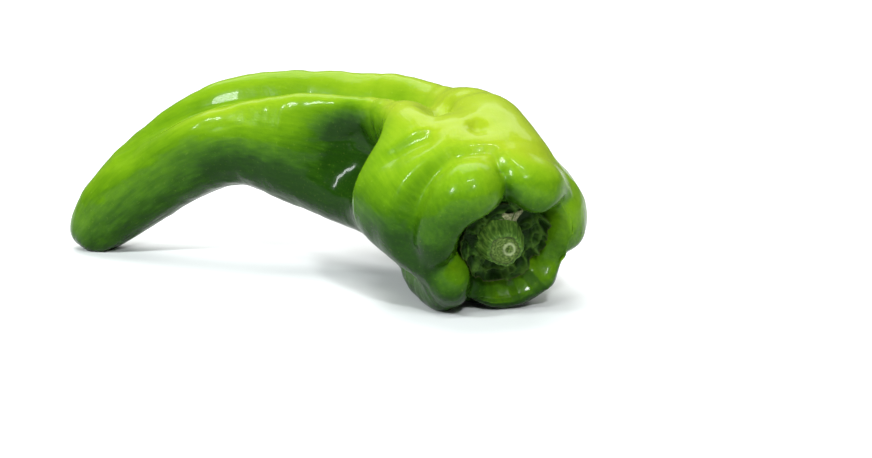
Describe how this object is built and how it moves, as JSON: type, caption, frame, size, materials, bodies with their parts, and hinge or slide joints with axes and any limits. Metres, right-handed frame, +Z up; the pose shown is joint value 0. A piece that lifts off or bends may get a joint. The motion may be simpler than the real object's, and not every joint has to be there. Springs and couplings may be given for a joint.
{
  "type": "cubanelle pepper",
  "caption": "Fresh cubanelle pepper lying on its side: long bent pod with lobed shoulders, ragged calyx and a cut stem stub.",
  "frame": {"origin": "on the surface the pepper lies on, under the middle of its bounding box", "axes": "+X along the body from the tip to the stem end's side, -Y the way the stem faces, +Z up"},
  "size_m": [0.152, 0.1112, 0.0572],
  "materials": {
    "skin": "waxy, glossy, yellow-green on top to deep green below",
    "calyx": "matte, wrinkled, dry at the edges",
    "stem": "matte, ribbed, pale woody cut"
  },
  "bodies": {
    "root": {"pod": "skin", "calyx": "calyx", "stem": "stem"}
  },
  "joints": []
}
